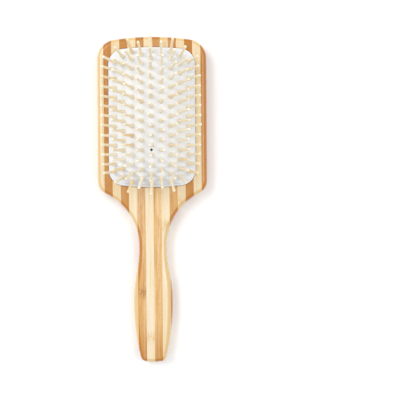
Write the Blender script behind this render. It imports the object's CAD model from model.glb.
"""A bamboo paddle brush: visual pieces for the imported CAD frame.

The board is rebuilt from the same arcs as the CAD, finer, and cut into its glued strips.
The cushion is one sheet of rubber, drawn up at the feet of its last pins and creased
between them. Pins are turned wood.
Lengths are in millimetres until a mesh is made, and in metres in Blender.
"""

import math
import random

import bmesh
import bpy
import numpy as np
from mathutils import Matrix, Vector


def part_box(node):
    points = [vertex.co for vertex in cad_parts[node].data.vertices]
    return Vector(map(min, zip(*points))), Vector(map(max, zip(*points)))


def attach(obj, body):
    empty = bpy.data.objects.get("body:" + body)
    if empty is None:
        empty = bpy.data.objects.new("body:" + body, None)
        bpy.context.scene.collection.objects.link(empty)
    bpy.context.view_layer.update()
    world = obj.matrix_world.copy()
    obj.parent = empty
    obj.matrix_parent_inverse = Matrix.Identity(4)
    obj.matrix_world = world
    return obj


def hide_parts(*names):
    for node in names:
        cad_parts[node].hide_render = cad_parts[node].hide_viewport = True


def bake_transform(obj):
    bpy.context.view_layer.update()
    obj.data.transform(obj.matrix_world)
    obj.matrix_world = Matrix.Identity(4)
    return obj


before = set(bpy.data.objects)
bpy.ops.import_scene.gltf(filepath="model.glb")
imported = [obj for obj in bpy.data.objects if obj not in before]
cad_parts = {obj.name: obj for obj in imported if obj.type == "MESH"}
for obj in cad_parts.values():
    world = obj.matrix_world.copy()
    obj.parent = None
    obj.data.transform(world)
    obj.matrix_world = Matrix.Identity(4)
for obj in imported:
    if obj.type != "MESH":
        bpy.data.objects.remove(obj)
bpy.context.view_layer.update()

MM = 0.001
SEED = 20


# ---------------------------------------------------------------- dimensions
board_low, board_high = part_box("bamboo_strip_08")
LENGTH = (board_high.y - board_low.y) / MM
HALF_L = LENGTH / 2
HALF_W = -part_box("bamboo_strip_01")[0].x / MM
BOARD_T = board_high.z / MM
CROWN_R = 200.0
HEAD_CORNER_R = 15.0
SHOULDER_R = 11.0
SWEEP_R = 45.0
FRONT_ROUND = 3.6
BACK_ROUND = 4.2
NECK_W = 21.0
NECK_Y = -36.0
GRIP_W = 30.0
GRIP_Y = -79.0
GRIP_TAPER_R = 175.0
END_R = 45.0
END_CORNER_R = 4.5
GRIP_ROUND = 6.0
OUTLINE_STEP = 0.9  # spacing of outline points
ROUND_STEPS = 9  # facets of the board's rounded edge

STRIPS = 14
STRIP_W = 6.2
GLUE_SHIFT = 0.7  # the strips lie this far off the middle
GLUE_SKEW = math.radians(0.31)  # and are turned by this
CUT_STRIPS = (5, 10)

CUSHION_W = 66.4
CUSHION_L = 107.2
CUSHION_Y = 62.9
CUSHION_CORNER_R = 12.0
FLANGE_W = 1.3
FLANGE_H = 0.5
LIP_H = 1.3
DOME_H = 9.8
RUBBER_T = 2.2
POCKET_D = 8.5
POCKET_CHAMFER = 0.45
BEAD = 1.6
GROOVE_TOP = -2.1
GROOVE_BOTTOM = -4.4
VENT_D = 2.0
RIM_GAP = 0.14  # dark line between cushion and wood
RIDGE_ROUND = 0.35  # how much of the ridge falls away gently; the rest falls near the ends

ROWS = (13, 14, 15, 14, 15, 14, 15, 14, 13)  # pins in each column
COLUMNS = len(ROWS)
COLUMN_PITCH = 7.35
ROW_PITCH = 7.3
WRAP_R = 50.0  # the columns are evenly spaced along an arc of this radius
END_PULL = 2.3  # how far the last rows are drawn in
PULL_X, PULL_Y = 56.0, 7 * ROW_PITCH  # half-axes of the ellipse where that pull is full
SPLAY_X = 1.2  # lean of the pins as a share of the dome's slope
SPLAY_Y = 0.95
PIN_L = 17.5


def srgb(r, g, b):
    """A colour given as 0 to 255 in sRGB, as Blender's linear values."""

    def linear(v):
        v /= 255
        return v / 12.92 if v <= 0.04045 else ((v + 0.055) / 1.055) ** 2.4

    return (linear(r), linear(g), linear(b), 1.0)


# ---------------------------------------------------------------- mesh helpers
def new_object(name, mesh):
    obj = bpy.data.objects.new(name, mesh)
    bpy.context.scene.collection.objects.link(obj)
    return obj


def mesh_from(name, points_mm, faces):
    mesh = bpy.data.meshes.new(name)
    mesh.from_pydata([tuple(MM * c for c in p) for p in points_mm], [], faces)
    mesh.validate()
    mesh.update()
    return mesh


def smooth(mesh, angle):
    """Smooth shading, with a crease wherever two faces meet at more than angle."""
    for polygon in mesh.polygons:
        polygon.use_smooth = True
    mesh.set_sharp_from_angle(angle=math.radians(angle))


def loft(rings, close_start=None, close_end=None):
    """Points and faces through rings of equal length; an end can close on a point."""
    n = len(rings[0])
    points = [p for ring in rings for p in ring]
    faces = [
        (k * n + i, k * n + (i + 1) % n, (k + 1) * n + (i + 1) % n, (k + 1) * n + i)
        for k in range(len(rings) - 1)
        for i in range(n)
    ]
    last = (len(rings) - 1) * n
    if close_start is not None:
        apex = len(points)
        points.append(close_start)
        faces += [(apex, (i + 1) % n, i) for i in range(n)]
    if close_end is not None:
        apex = len(points)
        points.append(close_end)
        faces += [(apex, last + i, last + (i + 1) % n) for i in range(n)]
    return points, faces


def difference(obj, cutter):
    """obj less cutter, as a new mesh; the cutter is removed."""
    modifier = obj.modifiers.new("cut", "BOOLEAN")
    modifier.operation = "DIFFERENCE"
    modifier.solver = "EXACT"
    modifier.object = cutter
    evaluated = obj.evaluated_get(bpy.context.evaluated_depsgraph_get())
    mesh = bpy.data.meshes.new_from_object(evaluated)
    obj.modifiers.clear()
    obj.data = mesh
    bpy.data.objects.remove(cutter)
    return obj


# ---------------------------------------------------------------- board outline
def polar(v):
    return math.atan2(v[1], v[0])


def arc(centre, radius, a0, a1, side=1):
    """Points on an arc with their outward normals; side is -1 on a hollow curve."""
    n = max(2, math.ceil(abs(a1 - a0) * radius / OUTLINE_STEP))
    points = []
    for i in range(n + 1):
        a = a0 + (a1 - a0) * i / n
        c, s = math.cos(a), math.sin(a)
        points.append((centre[0] + radius * c, centre[1] + radius * s, side * c, side * s))
    return points


def half_outline():
    """Right-hand side of the board, from the crown down to the end of the handle."""
    quarter = math.pi / 2
    crown = np.array([0, HALF_L - CROWN_R])
    corner_x = HALF_W - HEAD_CORNER_R
    corner = np.array(
        [corner_x, crown[1] + math.sqrt((CROWN_R - HEAD_CORNER_R) ** 2 - corner_x**2)]
    )
    sweep = np.array([NECK_W / 2 + SWEEP_R, NECK_Y])
    shoulder_x = HALF_W - SHOULDER_R
    reach = SWEEP_R + SHOULDER_R
    shoulder = np.array(
        [shoulder_x, NECK_Y + math.sqrt(reach**2 - (sweep[0] - shoulder_x) ** 2)]
    )
    run_y = (NECK_Y - GRIP_Y) / 2
    run_x = (GRIP_W - NECK_W) / 4
    run_r = (run_y**2 + run_x**2) / (2 * run_x)
    run_a = math.asin(run_y / run_r)
    hollow = (NECK_W / 2 + run_r, NECK_Y)
    bulge = (GRIP_W / 2 - run_r, GRIP_Y)
    taper = np.array([GRIP_W / 2 - GRIP_TAPER_R, GRIP_Y])
    end = np.array([0, END_R - HALF_L])
    r0, r1 = GRIP_TAPER_R - END_CORNER_R, END_R - END_CORNER_R
    gap = end - taper
    d = np.linalg.norm(gap)
    along = (r0**2 - r1**2 + d * d) / (2 * d)
    across = math.sqrt(r0**2 - along**2)
    unit = gap / d
    end_corner = taper + along * unit + across * np.array([unit[1], -unit[0]])

    crown_a, shoulder_a = polar(corner - crown), polar(sweep - shoulder)
    taper_a, end_a = polar(end_corner - taper), polar(end_corner - end)
    side_top, side_bottom = corner[1], shoulder[1]
    n_side = math.ceil((side_top - side_bottom) / (2 * OUTLINE_STEP))
    side = [
        (HALF_W, side_top + (side_bottom - side_top) * i / n_side, 1, 0)
        for i in range(1, n_side)
    ]
    return (
        arc(crown, CROWN_R, quarter, crown_a)
        + arc(corner, HEAD_CORNER_R, crown_a, 0)[1:]
        + side
        + arc(shoulder, SHOULDER_R, 0, shoulder_a)
        + arc(sweep, SWEEP_R, shoulder_a + math.pi, math.pi, -1)[1:]
        + arc(hollow, run_r, math.pi, math.pi + run_a, -1)[1:]
        + arc(bulge, run_r, run_a, 0)[1:]
        + arc(taper, GRIP_TAPER_R, 0, taper_a)[1:]
        + arc(end_corner, END_CORNER_R, taper_a, end_a)[1:]
        + arc(end, END_R, end_a, -quarter)[1:]
    )


def edge_radius(r, y):
    """The round-over grows towards the middle of the grip."""
    if y > NECK_Y:
        return r
    return r + (GRIP_ROUND - r) * math.sin(math.pi * (NECK_Y - y) / (NECK_Y + HALF_L)) ** 2


def build_board():
    """The whole board as one closed mesh, before it is cut into strips."""
    half = half_outline()
    last = len(half) - 1
    loop = half + [(-x, y, -nx, ny) for x, y, nx, ny in half[-2:0:-1]]
    around = len(loop)
    angles = [math.pi / 2 * i / ROUND_STEPS for i in range(ROUND_STEPS + 1)]
    rings = []
    for front in (True, False):
        for a in angles if front else angles[::-1]:
            ring = []
            for x, y, nx, ny in loop:
                r = edge_radius(FRONT_ROUND if front else BACK_ROUND, y)
                inset, drop = r * (1 - math.sin(a)), r * (1 - math.cos(a))
                z = BOARD_T - drop if front else drop
                ring.append((x - nx * inset, y - ny * inset, z))
            rings.append(ring)
    points, faces = loft(rings)
    faces = [f[::-1] for f in faces]
    bottom = (len(rings) - 1) * around
    for i in range(last):
        r0, r1 = i, i + 1
        l0, l1 = (around - i) % around, around - i - 1
        # on the middle line two of the four corners are one point
        face = list(dict.fromkeys([r0, l0, l1, r1]))
        faces.append(tuple(face))
        faces.append(tuple(bottom + v for v in face[::-1]))
    return mesh_from("board", points, faces)


# ---------------------------------------------------------------- cushion shape
CORNER_X = CUSHION_W / 2 - CUSHION_CORNER_R
CORNER_DIP = math.sqrt((CROWN_R - CUSHION_CORNER_R) ** 2 - CORNER_X**2)
CORNER_Y = CUSHION_L / 2 - CROWN_R + CORNER_DIP
CORNER_A = math.atan2(CORNER_DIP, CORNER_X)
LIP_IN = FLANGE_W + 0.2  # the dome and its lip stand this far inside the rim
SIDE_STEPS, CORNER_STEPS, CROWN_STEPS = 38, 20, 20
SHEET_STEPS, INNER_STEPS = 84, 14  # rings of the sheet's outside and inside


def cushion_outline(off):
    """The cushion's outline grown by off, anticlockwise, about the cushion's middle."""
    quarter = [
        (CUSHION_W / 2 + off, CORNER_Y * i / SIDE_STEPS) for i in range(SIDE_STEPS)
    ]
    r = CUSHION_CORNER_R + off
    for i in range(CORNER_STEPS):
        a = CORNER_A * i / CORNER_STEPS
        quarter.append((CORNER_X + r * math.cos(a), CORNER_Y + r * math.sin(a)))
    r = CROWN_R + off
    for i in range(CROWN_STEPS):
        a = CORNER_A + (math.pi / 2 - CORNER_A) * i / CROWN_STEPS
        quarter.append((r * math.cos(a), CUSHION_L / 2 - CROWN_R + r * math.sin(a)))
    top = (0.0, CUSHION_L / 2 + off)
    return (
        quarter
        + [top]
        + [(-x, y) for x, y in quarter[::-1]]
        + [(-x, -y) for x, y in quarter[1:]]
        + [(0.0, -top[1])]
        + [(x, -y) for x, y in quarter[:0:-1]]
    )


def dome_half_w(y):
    """Half the dome's width at y."""
    d = np.abs(y)
    r, r_top = CUSHION_CORNER_R - LIP_IN, CROWN_R - LIP_IN
    split = CORNER_Y + r * math.sin(CORNER_A)
    corner = CORNER_X + np.sqrt(np.clip(r * r - (d - CORNER_Y) ** 2, 0, None))
    crown = np.sqrt(np.clip(r_top**2 - (d - (CUSHION_L / 2 - CROWN_R)) ** 2, 0, None))
    return np.where(d <= CORNER_Y, CORNER_X + r, np.where(d <= split, corner, crown))


def dome(x, y):
    """Height of the rubber above the face of the board, without its peaks."""
    x, y = np.asarray(x, float), np.asarray(y, float)
    t = np.minimum(1, np.abs(y) / (CUSHION_L / 2 - LIP_IN))
    ridge = DOME_H * (1 - RIDGE_ROUND * t**2 - (1 - RIDGE_ROUND) * t**8)
    w = dome_half_w(y)
    u = np.minimum(1, np.abs(x) / np.maximum(w, 0.01))
    return LIP_H + ridge * (1 - u * u)


def slope(x, y, probe=0.05):
    """How steeply the dome falls away along X and along Y."""
    fall_x = (dome(x - probe, y) - dome(x + probe, y)) / (2 * probe)
    fall_y = (dome(x, y - probe) - dome(x, y + probe)) / (2 * probe)
    return fall_x, fall_y


def pin_feet():
    """(column, x, y) of every pin's foot, about the cushion's middle."""
    feet = []
    for c in range(1, COLUMNS + 1):
        x = WRAP_R * math.sin((c - (COLUMNS + 1) / 2) * COLUMN_PITCH / WRAP_R)
        rows = ROWS[c - 1]
        for r in range(rows):
            y = (r - (rows - 1) / 2) * ROW_PITCH
            reach = (x / PULL_X) ** 2 + (y / PULL_Y) ** 2
            feet.append((c, x, y - math.copysign(END_PULL * reach**4, y)))
    return feet


FEET = pin_feet()
VENT = (0.0, -3.5 * ROW_PITCH)
PEAK_H, PEAK_R = 0.2, 3.6  # height and reach of the peaks in the middle rows
END_PEAK_H, END_PEAK_R = 3.2, 4.6  # and in the last rows, where the pins pull the sheet up
END_ROWS = (24.0, 45.0)  # distance from the middle where the last rows begin and are full
PEAK_POWER = 1.2
SEAT_R = 1.45  # a peak is flat under its pin's foot
CREASE_H, CREASE_R = 2.6, 3.4  # ridges that link neighbouring pins in the last rows
CREASE_SAG = 0.2  # share of its height that a ridge loses halfway between its pins
CREASE_SPAN = 0.75 * ROW_PITCH  # feet nearer than this along Y share a ridge
SINK = 1.3  # how far the sheet between the ridges lies below the dome
FADE_SHARE = 0.05  # the relief dies away over this last part of the dome
VENT_RING_H, VENT_RING_R, VENT_RING_W = 0.18, 1.15, 0.35
VENT_CUT_DOWN, VENT_CUT_UP, VENT_SIDES = 6, 2, 32
CUT_PAST = 1  # how far a shank's cutter runs past the rubber


def smoothstep(low, high, value):
    t = np.clip((value - low) / (high - low), 0, 1)
    return t * t * (3 - 2 * t)


def peak(distance, foot_y):
    """How far the sheet is drawn up at a distance from the pin at foot_y."""
    end = smoothstep(*END_ROWS, np.abs(foot_y))
    height = PEAK_H + (END_PEAK_H - PEAK_H) * end
    reach = PEAK_R + (END_PEAK_R - PEAK_R) * end
    d = np.maximum(distance, SEAT_R)
    return height * np.clip(1 - d / reach, 0, 1) ** PEAK_POWER


def crease_lines():
    """Ends of the ridges: pairs of feet half a row apart in neighbouring columns.

    One more row is counted beyond the last at each end of a column.
    """
    feet = list(FEET)
    for c in range(1, COLUMNS + 1):
        x, last = max((x, y) for column, x, y in FEET if column == c)
        feet += [(c, x, last + ROW_PITCH), (c, x, -last - ROW_PITCH)]
    lines = []
    for c, x0, y0 in feet:
        for d, x1, y1 in feet:
            if d == c + 1 and abs(y1 - y0) < CREASE_SPAN:
                lines.append((x0, y0, x1, y1))
    return np.array(lines)


CREASES = crease_lines()


def creases(x, y):
    """The ridges of the sheet between the last pins."""
    x0, y0, x1, y1 = CREASES.T
    along_x, along_y = x1 - x0, y1 - y0
    to_x, to_y = x[:, None] - x0, y[:, None] - y0
    share = (to_x * along_x + to_y * along_y) / (along_x**2 + along_y**2)
    share = np.clip(share, 0, 1)
    distance = np.hypot(to_x - share * along_x, to_y - share * along_y)
    sag = 1 - CREASE_SAG * 4 * share * (1 - share)
    height = CREASE_H * smoothstep(*END_ROWS, np.abs(y0 + y1) / 2) * sag
    return (height * np.clip(1 - distance / CREASE_R, 0, 1)).max(axis=1)


def rubber_relief(x, y):
    """The peaks round the pins, the ridges between them, and the small ring round the vent."""
    feet = np.array([(fx, fy) for _, fx, fy in FEET])
    distance = np.hypot(x[:, None] - feet[:, 0], y[:, None] - feet[:, 1])
    peaks = peak(distance, feet[None, :, 1]).max(axis=1)
    to_vent = np.hypot(x - VENT[0], y - VENT[1])
    ring = VENT_RING_H * np.exp(-(((to_vent - VENT_RING_R) / VENT_RING_W) ** 2))
    sink = SINK * smoothstep(*END_ROWS, np.abs(y))
    return np.maximum(peaks, creases(x, y)) - sink + ring


def dome_rings(off, shares, drop, relief):
    """Rings over the dome, each the outline scaled by its share, drop below the surface."""
    rings = []
    edge = np.array(cushion_outline(off))
    for share in shares:
        x, y = (edge * share).T
        z = dome(x, y) - drop
        if relief:
            fade = np.clip((1 - share) / FADE_SHARE, 0, 1)
            fall_x, fall_y = slope(x, y)
            lift = rubber_relief(x, y) * fade
            norm = np.sqrt(fall_x**2 + fall_y**2 + 1)
            x, y, z = x + lift * fall_x / norm, y + lift * fall_y / norm, z + lift / norm
        rings.append([tuple(p) for p in np.stack([x, y, z], 1)])
    return rings


FILLET = 0.35  # where the lip meets the flange
RIM_ROUND, RIM_STEPS = 0.3, 4
BEAD_PLAY = 0.04
LIP_SECTION = [  # (distance from the rim, height above the board), from the dome outwards
    (-LIP_IN + 0.04, LIP_H - 0.3),
    (-LIP_IN + 0.06, FLANGE_H + FILLET),
    (-LIP_IN + 0.14, FLANGE_H + FILLET * 0.35),
    (-LIP_IN + FILLET, FLANGE_H + 0.03),
    (-0.5, FLANGE_H),
]
BEAD_SECTION = [  # into the groove, round the bead and back to the inside wall
    (0, GROOVE_TOP - BEAD_PLAY),
    (BEAD, GROOVE_TOP - BEAD_PLAY),
    (BEAD, GROOVE_BOTTOM + BEAD_PLAY),
    (-LIP_IN - RUBBER_T, GROOVE_BOTTOM + BEAD_PLAY),
]


def flat_ring(off, z):
    return [(x, y, z) for x, y in cushion_outline(off)]


def rim_section():
    """The rounded edge of the flange."""
    section = []
    for i in range(RIM_STEPS + 1):
        a = math.pi / 2 * i / RIM_STEPS
        inset, drop = RIM_ROUND * (1 - math.sin(a)), RIM_ROUND * (1 - math.cos(a))
        section.append((-inset, FLANGE_H - drop))
    return section


def build_cushion():
    """The rubber sheet with its lip, flange and bead, its vent and a hole for each shank."""
    outside = [i / SHEET_STEPS for i in range(1, SHEET_STEPS + 1)]
    inside = [1 - i / INNER_STEPS for i in range(INNER_STEPS)]
    rings = dome_rings(-LIP_IN, outside, 0, True)
    rings += [flat_ring(*point) for point in LIP_SECTION + rim_section() + BEAD_SECTION]
    rings += dome_rings(-LIP_IN - RUBBER_T, inside, RUBBER_T, False)
    crest = float(dome(0, 0))
    relief = float(rubber_relief(np.zeros(1), np.zeros(1))[0])
    points, faces = loft(rings, (0, 0, crest + relief), (0, 0, crest - RUBBER_T))
    points = [(x, y + CUSHION_Y, z + BOARD_T) for x, y, z in points]
    faces = [f[::-1] for f in faces]
    obj = new_object("cushion_sheet", mesh_from("cushion_sheet", points, faces))
    face_outwards(obj.data)
    holes = [vent_cutter()] + [shank_cutter(x, y) for _, x, y in FEET]
    return difference(obj, joined("holes", holes))


def face_outwards(mesh):
    bm = bmesh.new()
    bm.from_mesh(mesh)
    bmesh.ops.recalc_face_normals(bm, faces=bm.faces)
    bm.to_mesh(mesh)
    bm.free()


def vent_cutter():
    """The air vent, a punched hole."""
    steps = [(-VENT_CUT_DOWN, VENT_D / 2), (VENT_CUT_UP, VENT_D / 2)]
    return lathe((*VENT, float(dome(*VENT))), Vector((0, 0, 1)), steps, VENT_SIDES)


def shank_cutter(x, y):
    """The hole that a pin's shank fills."""
    steps = [(-RUBBER_T - CUT_PAST, SHANK_R), (END_PEAK_H + CUT_PAST, SHANK_R)]
    return lathe((x, y, float(dome(x, y))), pin_axis(x, y), steps, PIN_SIDES)


def lathe(foot, axis, steps, sides, turn=0.0):
    """Points and faces of a turned solid; foot is about the cushion's middle.

    steps are (distance along the axis, radius); the two ends are closed.
    """
    side = axis.cross(Vector((0, 1, 0))).normalized()
    other = axis.cross(side)
    origin = Vector((foot[0], foot[1] + CUSHION_Y, foot[2] + BOARD_T))
    rings = []
    for along, radius in steps:
        ring = []
        for i in range(sides):
            a = turn + math.tau * i / sides
            spoke = side * math.cos(a) + other * math.sin(a)
            ring.append(tuple(origin + axis * along + spoke * radius))
        rings.append(ring)
    start, end = origin + axis * steps[0][0], origin + axis * steps[-1][0]
    return loft(rings, tuple(start), tuple(end))


def joined(name, solids):
    """One mesh object from several (points, faces) solids."""
    points, faces = [], []
    for solid_points, solid_faces in solids:
        base = len(points)
        points += solid_points
        faces += [tuple(base + v for v in face) for face in solid_faces]
    obj = new_object(name, mesh_from(name, points, faces))
    face_outwards(obj.data)
    return obj


def pocket_cutter():
    """The pocket behind the cushion, its groove, and a small chamfer at its mouth."""
    gap, chamfer = RIM_GAP, POCKET_CHAMFER
    section = [
        (gap, -POCKET_D),
        (gap, GROOVE_BOTTOM),
        (BEAD + gap, GROOVE_BOTTOM),
        (BEAD + gap, GROOVE_TOP),
        (gap, GROOVE_TOP),
        (gap, -chamfer),
        (gap + chamfer * 0.35, -chamfer * 0.35),
        (gap + chamfer, 0.0),
        (gap + chamfer * 2, chamfer),
    ]
    rings = [
        [(x, y + CUSHION_Y, BOARD_T + z) for x, y in cushion_outline(off)]
        for off, z in section
    ]
    low, high = BOARD_T - POCKET_D, BOARD_T + chamfer
    points, faces = loft(rings, (0, CUSHION_Y, low), (0, CUSHION_Y, high))
    cutter = new_object("pocket_cutter", mesh_from("pocket_cutter", points, faces))
    face_outwards(cutter.data)
    return cutter


# ---------------------------------------------------------------- strips
WELD = 1e-7  # points nearer than this, in metres, are one
STRIP_CREASE, PIN_CREASE, RUBBER_CREASE = 28, 50, 40  # angles of smooth shading, in degrees


def trim(bm, point, normal):
    """Cuts away what lies in front of the plane and closes the cut."""
    geometry = bm.verts[:] + bm.edges[:] + bm.faces[:]
    cut = bmesh.ops.bisect_plane(
        bm, geom=geometry, dist=WELD, plane_co=point, plane_no=normal, clear_outer=True
    )["geom_cut"]
    edges = [e for e in cut if isinstance(e, bmesh.types.BMEdge)]
    if edges:
        bmesh.ops.triangle_fill(bm, use_beauty=True, edges=edges, normal=normal)


def glue_plane(x):
    """A point on the glue line at x, and the direction square to it."""
    c, s = math.cos(GLUE_SKEW), math.sin(GLUE_SKEW)
    point = Vector(((GLUE_SHIFT + x) * c * MM, (GLUE_SHIFT + x) * s * MM, 0))
    return point, Vector((c, s, 0))


def build_strip(name, board_mesh, s, part):
    """Strip s of the board; part is "head", "grip" or nothing for a strip in one piece."""
    bm = bmesh.new()
    bm.from_mesh(board_mesh)
    if s > 1:
        point, normal = glue_plane((s - 1 - STRIPS / 2) * STRIP_W)
        trim(bm, point, -normal)
    if s < STRIPS:
        point, normal = glue_plane((s - STRIPS / 2) * STRIP_W)
        trim(bm, point, normal)
    if part:
        up = Vector((0, 1 if part == "grip" else -1, 0))
        trim(bm, Vector((0, NECK_Y * MM, 0)), up)
    bmesh.ops.remove_doubles(bm, verts=bm.verts, dist=WELD)
    bmesh.ops.recalc_face_normals(bm, faces=bm.faces)
    mesh = bpy.data.meshes.new(name)
    bm.to_mesh(mesh)
    bm.free()
    smooth(mesh, STRIP_CREASE)
    return new_object(name, mesh)


# ---------------------------------------------------------------- pins
HEAD_TOP = -RUBBER_T - 0.5
SHANK_R = 0.95
FOOT_Z = 0.45  # where the foot starts
PIN_PROFILE = [  # (distance along the pin, radius), from the rivet head to the tip
    (HEAD_TOP - 1.1, 1.45),
    (HEAD_TOP - 0.95, 1.75),
    (HEAD_TOP - 0.6, 1.9),
    (HEAD_TOP - 0.15, 1.9),
    (HEAD_TOP, 1.75),
    (HEAD_TOP, SHANK_R),
    (FOOT_Z, SHANK_R),
    (FOOT_Z, 1.45),
    (FOOT_Z + 0.12, 1.64),
    (FOOT_Z + 0.35, 1.74),
    (FOOT_Z + 0.6, 1.75),
    (FOOT_Z + 0.9, 1.68),
    (FOOT_Z + 1.5, 1.5),
    (FOOT_Z + 2.2, 1.34),
    (FOOT_Z + 3.0, 1.2),
    (FOOT_Z + 4.0, 1.1),
    (FOOT_Z + 5.5, 1.04),
    (8.0, 1.0),
    (12.0, 0.96),
    (14.8, 0.95),
    (15.6, 0.98),
    (16.1, 1.03),
    (16.5, 1.05),
    (16.85, 1.01),
    (17.13, 0.88),
    (17.33, 0.68),
    (17.45, 0.4),
]
PIN_SIDES = 24
TIP_FLAT_R = 0.05
TILT = math.radians(0.8)  # spread of each pin's own lean, along X and along Y
SEAT_PLAY = 0.1  # how much higher a pin may sit
FATNESS = (0.97, 1.04)  # range of each pin's own thickness


def pin_axis(x, y, tilt_x=0.0, tilt_y=0.0):
    """Direction of the pin whose foot is at x, y, about square to the dome."""
    fall_x, fall_y = (float(v) for v in slope(x, y))
    lean_x = SPLAY_X * math.atan(fall_x) + tilt_x
    lean_y = SPLAY_Y * math.atan(fall_y) + tilt_y
    return Vector((math.tan(lean_x), math.tan(lean_y), 1)).normalized()


def turned_pin(x, y, rng):
    """One pin, its foot at the height of its peak before the sheet sinks, with some play."""
    axis = pin_axis(x, y, rng.gauss(0, TILT), rng.gauss(0, TILT))
    seat = float(peak(0.0, y)) - FOOT_Z + rng.uniform(0, SEAT_PLAY)
    foot = Vector((x, y, float(dome(x, y)))) + axis * seat
    fat = rng.uniform(*FATNESS)
    steps = [(along, radius * fat) for along, radius in PIN_PROFILE]
    steps.append((PIN_L, TIP_FLAT_R))
    return lathe(foot, axis, steps, PIN_SIDES, rng.uniform(0, math.tau))


def build_pins(column, materials, rng):
    """All the pins of one column as one object, each pin in one shade of wood."""
    solids = [turned_pin(x, y, rng) for c, x, y in FEET if c == column]
    obj = joined(f"pins_{column}", solids)
    shades = []
    for _, faces in solids:
        shade = rng.choices(range(len(materials)), weights=PIN_SHADE_WEIGHTS)[0]
        shades += [shade] * len(faces)
    for material in materials:
        obj.data.materials.append(material)
    obj.data.polygons.foreach_set("material_index", shades)
    smooth(obj.data, PIN_CREASE)
    return obj


# ---------------------------------------------------------------- materials
COLOUR_A, COLOUR_B, COLOUR_OUT = 6, 7, 2  # the colour sockets of a mix node


class Nodes:
    """A short way to build a node tree."""

    def __init__(self, name):
        self.material = bpy.data.materials.new(name)
        self.material.use_nodes = True
        self.tree = self.material.node_tree
        self.shader = self.tree.nodes["Principled BSDF"]

    def add(self, kind, **settings):
        node = self.tree.nodes.new(kind)
        for key, value in settings.items():
            setattr(node, key, value)
        return node

    def link(self, out, into):
        self.tree.links.new(out, into)

    def set(self, **values):
        for key, value in values.items():
            self.shader.inputs[key.replace("_", " ")].default_value = value

    def put(self, value, socket):
        """Links value into the socket, or sets it there when it is a plain value."""
        if isinstance(value, bpy.types.NodeSocket):
            self.link(value, socket)
        else:
            socket.default_value = value

    def math(self, operation, *values):
        node = self.add("ShaderNodeMath", operation=operation)
        for socket, value in zip(node.inputs, values):
            self.put(value, socket)
        return node.outputs[0]

    def coordinates(self, scale, offset):
        """The object's coordinates, stretched by scale; big values make fine detail."""
        source = self.add("ShaderNodeTexCoord").outputs["Object"]
        mapping = self.add("ShaderNodeMapping")
        mapping.inputs["Scale"].default_value = scale
        mapping.inputs["Location"].default_value = offset
        self.link(source, mapping.inputs["Vector"])
        return mapping.outputs["Vector"]

    def noise(self, scale, offset, detail, rough):
        node = self.add("ShaderNodeTexNoise")
        node.inputs["Scale"].default_value = 1.0
        node.inputs["Detail"].default_value = detail
        node.inputs["Roughness"].default_value = rough
        self.link(self.coordinates(scale, offset), node.inputs["Vector"])
        return node.outputs["Fac"]

    def spread(self, value, low, high, to_low=0.0, to_high=1.0):
        """value taken from low..high to to_low..to_high, smoothly and no further."""
        node = self.add("ShaderNodeMapRange", interpolation_type="SMOOTHSTEP")
        ends = {"From Min": low, "From Max": high, "To Min": to_low, "To Max": to_high}
        for key, end in ends.items():
            node.inputs[key].default_value = end
        self.link(value, node.inputs["Value"])
        return node.outputs["Result"]

    def mix(self, factor, a, b):
        node = self.add("ShaderNodeMix", data_type="RGBA")
        self.link(factor, node.inputs["Factor"])
        self.put(a, node.inputs[COLOUR_A])
        self.put(b, node.inputs[COLOUR_B])
        return node.outputs[COLOUR_OUT]

    def bump(self, height, distance, strength):
        node = self.add("ShaderNodeBump")
        node.inputs["Distance"].default_value = distance
        node.inputs["Strength"].default_value = strength
        self.link(height, node.inputs["Height"])
        return node.outputs["Normal"]


BAMBOO = {
    # pale, mid, streak, edge
    "natural": (srgb(233, 218, 189), srgb(229, 210, 173), srgb(214, 180, 121), srgb(219, 176, 96)),
    "caramel": (srgb(231, 198, 150), srgb(219, 173, 104), srgb(176, 108, 6), srgb(184, 112, 4)),
}
FLECK = {"natural": srgb(208, 165, 100), "caramel": srgb(140, 86, 36)}
STREAK = {"natural": 0.55, "caramel": 0.85}  # how strong the streaks are
RIM = {"natural": 0.62, "caramel": 0.85}  # how dark the rounded edges are
END_DEPTH = {"natural": 0.14, "caramel": 0.6}  # how dark the crown and the butt are
GRAIN = {
    # stretch along each axis, then detail and roughness of the noise
    "broad": ((420, 7, 420), 2, 0.5),
    "fibre": ((1500, 24, 1500), 3, 0.6),
    "fine": ((4200, 130, 4200), 2, 0.6),
    "dash": ((1700, 420, 1700), 3, 0.65),
    "cloud": ((160, 60, 160), 3, 0.6),
    "fleck": ((1300, 300, 1300), 3, 0.7),
    "haze": ((500, 160, 500), 2, 0.6),
}
STREAK_LAYERS = (
    # noise, where its streaks begin and are full, share of the tone's strength
    ("fibre", 0.46, 0.74, 1.0),
    ("fine", 0.5, 0.78, 0.7),
    ("dash", 0.5, 0.75, 0.45),
)
CLOUD_FLOOR = 0.7  # the cloud never leaves less than this much of a strip's depth
EDGE_FACING = (0.9, 0.99)  # facing along Z at which the edge colour is full, and gone
CROWN_FROM, BUTT_FROM = 0.06, -0.09  # where the ends begin to deepen, in metres
MARK_REACH = 6.5  # half-length of a node mark


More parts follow.
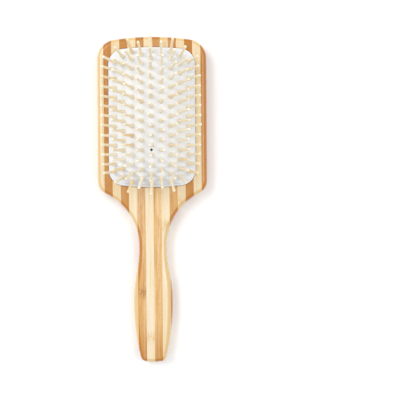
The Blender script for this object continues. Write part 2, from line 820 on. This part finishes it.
def bamboo(name, tone, rng, depth, marks):
    """Lacquered bamboo: fibres along Y, pores on the end grain, a node mark here and there.

    depth, 0 to 1, makes one strip deeper in colour than its neighbours.
    """
    n = Nodes(name)
    pale, mid, streak, edge = BAMBOO[tone]
    shift = (rng.uniform(0, 50), rng.uniform(0, 50), rng.uniform(0, 50))

    def grain(key):
        scale, detail, rough = GRAIN[key]
        return n.noise(scale, shift, detail, rough)

    layers = {key: grain(key) for key in ("fibre", "fine", "dash")}
    colour = n.mix(n.spread(grain("broad"), 0.36, 0.66), pale, mid)
    for key, low, high, share in STREAK_LAYERS:
        strength = n.spread(layers[key], low, high, 0, STREAK[tone] * share)
        colour = n.mix(strength, colour, streak)
    cloud = n.spread(grain("cloud"), 0.3, 0.8, depth * CLOUD_FLOOR, depth)
    colour = n.mix(cloud, colour, streak)

    # lacquer pools and darkens wherever the surface turns away from the flat faces
    facing = n.add("ShaderNodeSeparateXYZ")
    n.link(n.add("ShaderNodeTexCoord").outputs["Normal"], facing.inputs[0])
    flatness = n.math("ABSOLUTE", facing.outputs["Z"])
    colour = n.mix(n.spread(flatness, *EDGE_FACING, RIM[tone], 0), colour, edge)

    # the tone deepens toward the crown and the butt
    position = n.add("ShaderNodeSeparateXYZ")
    n.link(n.add("ShaderNodeTexCoord").outputs["Object"], position.inputs[0])
    along = position.outputs["Y"]
    crown = n.spread(along, CROWN_FROM, HALF_L * MM, 0, END_DEPTH[tone])
    butt = n.spread(along, -HALF_L * MM, BUTT_FROM, END_DEPTH[tone], 0)
    colour = n.mix(n.math("MAXIMUM", crown, butt), colour, streak)

    # a node of the culm shows as a patch of short dark flecks
    for mark in marks:
        away = n.math("ABSOLUTE", n.math("SUBTRACT", along, mark * MM))
        near = n.spread(away, 0, MARK_REACH * MM, 1, 0)
        flecks = n.spread(grain("fleck"), 0.5, 0.64)
        haze = n.spread(grain("haze"), 0.38, 0.62, 0.1, 0.5)
        patch = n.math("MULTIPLY", near, n.math("MAXIMUM", flecks, haze))
        colour = n.mix(patch, colour, FLECK[tone])
    n.link(colour, n.shader.inputs["Base Color"])

    n.link(n.spread(layers["fibre"], 0.3, 0.8, 0.36, 0.5), n.shader.inputs["Roughness"])
    relief = n.math("ADD", n.math("MULTIPLY", layers["fine"], 0.5), layers["fibre"])
    n.link(n.bump(relief, 0.00005, 0.5), n.shader.inputs["Normal"])
    n.set(Coat_Weight=0.9, Coat_Roughness=0.13, Specular_IOR_Level=0.25)
    return n.material


def rubber():
    """Satin white rubber, hardly mottled, with a fine grain."""
    n = Nodes("white_rubber")
    haze = n.noise((60, 60, 60), (3, 8, 1), 3, 0.5)
    grain = n.noise((2600, 2600, 2600), (1, 2, 3), 2, 0.5)
    colour = n.mix(n.spread(haze, 0.3, 0.7), srgb(231, 232, 234), srgb(226, 227, 229))
    n.link(colour, n.shader.inputs["Base Color"])
    n.link(n.spread(grain, 0.3, 0.7, 0.46, 0.56), n.shader.inputs["Roughness"])
    n.link(n.bump(grain, 0.00002, 0.4), n.shader.inputs["Normal"])
    n.set(Specular_IOR_Level=0.4)
    return n.material


PIN_TONES = {
    "cream": (srgb(242, 230, 202), srgb(229, 211, 172)),
    "pale": (srgb(247, 239, 219), srgb(237, 223, 190)),
    "honey": (srgb(240, 220, 180), srgb(228, 197, 146)),
    "amber": (srgb(236, 208, 160), srgb(218, 178, 122)),
}
PIN_SHADE_WEIGHTS = (56, 30, 11, 3)  # how common each tone is, in percent


def pin_wood(tone):
    """Pale turned wood with faint streaks and darker patches."""
    n = Nodes("pin_" + tone)
    light, dark = PIN_TONES[tone]
    streak = n.noise((2400, 2400, 160), (5, 9, 2), 3, 0.6)
    patch = n.noise((240, 240, 90), (2, 1, 7), 2, 0.5)
    colour = n.mix(n.spread(streak, 0.42, 0.75, 0, 0.8), light, dark)
    colour = n.mix(n.spread(patch, 0.45, 0.75, 0, 0.35), colour, dark)
    n.link(colour, n.shader.inputs["Base Color"])
    n.link(n.spread(streak, 0.3, 0.8, 0.32, 0.46), n.shader.inputs["Roughness"])
    n.link(n.bump(streak, 0.00005, 0.5), n.shader.inputs["Normal"])
    n.set(Coat_Weight=0.35, Coat_Roughness=0.18)
    return n.material


def floor_material():
    n = Nodes("pale_floor")
    speck = n.noise((30, 30, 30), (0, 0, 0), 3, 0.5)
    colour = n.mix(n.spread(speck, 0.3, 0.7), srgb(254, 254, 254), srgb(252, 252, 252))
    n.link(colour, n.shader.inputs["Base Color"])
    n.set(Roughness=0.9)
    return n.material


# ---------------------------------------------------------------- studio
ROOM_COLOUR, ROOM_STRENGTH = (0.96, 0.978, 1.0, 1), 0.7
FLOOR_SIZE = 6
SOFTBOXES = (
    # name, place and size in metres, power in watts
    ("key", (-1.0, 0.6, 1.5), (1.3, 1.0), 15),
    ("fill", (1.0, 0.3, 1.5), (1.2, 1.0), 8.5),
    ("left_strip", (-0.45, 0.05, 0.95), (0.06, 1.3), 0.8),
    ("right_strip", (0.5, 0.05, 0.95), (0.06, 1.3), 0.6),
)


def softbox(name, place, size, power):
    """A rectangular light that faces the middle of the brush; size is across and lengthwise."""
    light = bpy.data.lights.new(name, "AREA")
    light.shape, light.energy = "RECTANGLE", power
    light.size, light.size_y = size
    obj = new_object(name, light)
    back = Vector(place).normalized()
    along = (Vector((0, 1, 0)) - back * back.y).normalized()
    turn = Matrix((along.cross(back), along, back)).transposed()
    obj.matrix_world = Matrix.Translation(place) @ turn.to_4x4()


def studio():
    """A bright room, two broad softboxes and two narrow ones for highlights along the edges."""
    world = bpy.data.worlds.new("studio")
    bpy.context.scene.world = world
    world.use_nodes = True
    background = world.node_tree.nodes["Background"]
    background.inputs["Color"].default_value = ROOM_COLOUR
    background.inputs["Strength"].default_value = ROOM_STRENGTH
    for box in SOFTBOXES:
        softbox(*box)

    bpy.ops.mesh.primitive_grid_add(x_subdivisions=8, y_subdivisions=8, size=FLOOR_SIZE)
    floor = bpy.context.object
    floor.name = "floor"
    floor.data.materials.append(floor_material())


CAMERA_HEIGHT = 0.750
CAMERA_X, CAMERA_Y = 0.0364, -0.0008  # the brush lies left of the middle of the picture
PICTURE_W = 0.30944  # what the picture spans halfway up the board
CAMERA_ROLL = math.radians(-0.35)
SENSOR_W = 36.0


def add_camera():
    camera = bpy.data.cameras.new("camera")
    camera.sensor_width = SENSOR_W
    camera.lens = SENSOR_W * (CAMERA_HEIGHT - BOARD_T / 2 * MM) / PICTURE_W
    camera.clip_start = 0.01
    obj = new_object("camera", camera)
    obj.location = (CAMERA_X, CAMERA_Y, CAMERA_HEIGHT)
    obj.rotation_euler = (0, 0, CAMERA_ROLL)
    bpy.context.scene.camera = obj


# ---------------------------------------------------------------- assembly
# where each strip has node marks, in millimetres along Y
NODE_MARKS = {2: (80,), 4: (14,), 6: (-71,), 7: (-106,), 9: (120, -20), 11: (-2,), 13: (96,)}
STRIP_DEPTH = {  # how deep in colour each strip is; natural strips first, then caramel
    1: 0.35, 3: 0.4, 5: 0.08, 7: 0.0, 9: 0.1, 11: 0.3, 13: 0.2,
    2: 0.85, 4: 0.8, 6: 0.3, 8: 0.04, 10: 0.42, 12: 0.9, 14: 0.7,
}


def add_board(rng):
    """The board less its pocket, cut into glued strips, each with its own bamboo."""
    whole = new_object("board", build_board())
    face_outwards(whole.data)
    difference(whole, pocket_cutter())
    for s in range(1, STRIPS + 1):
        tone = "natural" if s % 2 else "caramel"
        material = bamboo(f"bamboo_{s:02d}", tone, rng, STRIP_DEPTH[s], NODE_MARKS.get(s, ()))
        for part in ("head", "grip") if s in CUT_STRIPS else ("",):
            tail = f"{s:02d}_{part}" if part else f"{s:02d}"
            strip = build_strip("strip_" + tail, whole.data, s, part)
            strip.data.materials.clear()
            strip.data.materials.append(material)
            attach(strip, "handle")
            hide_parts("bamboo_strip_" + tail)
    bpy.data.objects.remove(whole)


def add_cushion():
    """The rubber; its rim stays with the board and its dome goes down with the cushion body."""
    cushion = build_cushion()
    cushion.data.materials.clear()
    cushion.data.materials.append(rubber())
    smooth(cushion.data, RUBBER_CREASE)
    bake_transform(cushion)
    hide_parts("rubber_cushion")


def add_pins(rng):
    woods = [pin_wood(tone) for tone in PIN_TONES]
    for column in range(1, COLUMNS + 1):
        pins = build_pins(column, woods, rng)
        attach(pins, f"pins_{column}")
        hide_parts(f"pin_column_{column}")


add_camera()
add_board(random.Random(SEED))
add_cushion()
add_pins(random.Random(SEED + 1))
studio()
bpy.context.scene.view_settings.view_transform = "Standard"
